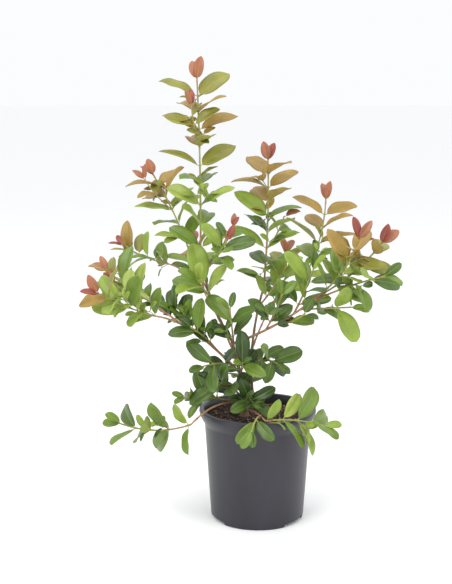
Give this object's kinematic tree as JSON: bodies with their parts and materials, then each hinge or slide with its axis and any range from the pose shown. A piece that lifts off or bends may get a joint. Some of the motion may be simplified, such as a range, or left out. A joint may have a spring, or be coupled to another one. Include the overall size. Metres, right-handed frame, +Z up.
{
  "type": "potted guava",
  "caption": "Young many-stemmed guava shrub with opposite leaves and bronze new growth in a round black nursery pot.",
  "frame": {"origin": "centre of the pot's flat underside, on the floor", "axes": "+Z up, +X to the right of the side the plant shows best from, +Y away from that side"},
  "size_m": [0.4919, 0.3892, 0.7431],
  "materials": {
    "pot_plastic": "satin black nursery pot",
    "potting_soil": "loose damp potting mix",
    "bark": "thin pinkish brown bark",
    "dark_leaf": "leathery leaf",
    "mature_leaf": "leathery leaf",
    "bright_leaf": "leathery leaf",
    "young_leaf": "thin young leaf"
  },
  "bodies": {
    "root": {"pot": "pot_plastic", "soil": "potting_soil", "trunk": "bark", "bough_main": "bark", "bough_centre_foot": "bark", "bough_centre": "bark", "bough_leader": "bark", "bough_left": "bark", "bough_right": "bark", "bough_right_rear": "bark", "bough_upper_left": "bark", "bough_left_high": "bark", "bough_left_rear": "bark", "bough_left_front": "bark", "bough_low_left": "bark", "bough_low_right": "bark", "bough_back": "bark", "bough_back_left": "bark", "foliage_leader": "young_leaf", "foliage_upper_left": "young_leaf", "foliage_left_high": "bright_leaf", "foliage_left_rear": "young_leaf", "foliage_left_front": "young_leaf", "foliage_left_middle": "mature_leaf", "foliage_left_inner": "mature_leaf", "foliage_left_low": "mature_leaf", "foliage_centre_left": "young_leaf", "foliage_centre_front": "bright_leaf", "foliage_centre_top": "bright_leaf", "foliage_centre_right": "bright_leaf", "foliage_centre_low": "mature_leaf", "foliage_main_front": "mature_leaf", "foliage_main_high": "mature_leaf", "foliage_right_rear": "young_leaf", "foliage_right_top": "young_leaf", "foliage_right_tip": "young_leaf", "foliage_right_outer": "bright_leaf", "foliage_right_low": "bright_leaf", "foliage_right_mid": "bright_leaf", "foliage_right_inner": "mature_leaf", "foliage_right_under": "mature_leaf", "foliage_low_left": "bright_leaf", "foliage_low_left_top": "bright_leaf", "foliage_low_right": "young_leaf", "foliage_low_front": "bright_leaf", "foliage_foot_left": "dark_leaf", "foliage_foot_front": "dark_leaf", "foliage_back": "bright_leaf", "foliage_back_left": "bright_leaf", "foliage_back_low": "mature_leaf"}
  },
  "joints": []
}
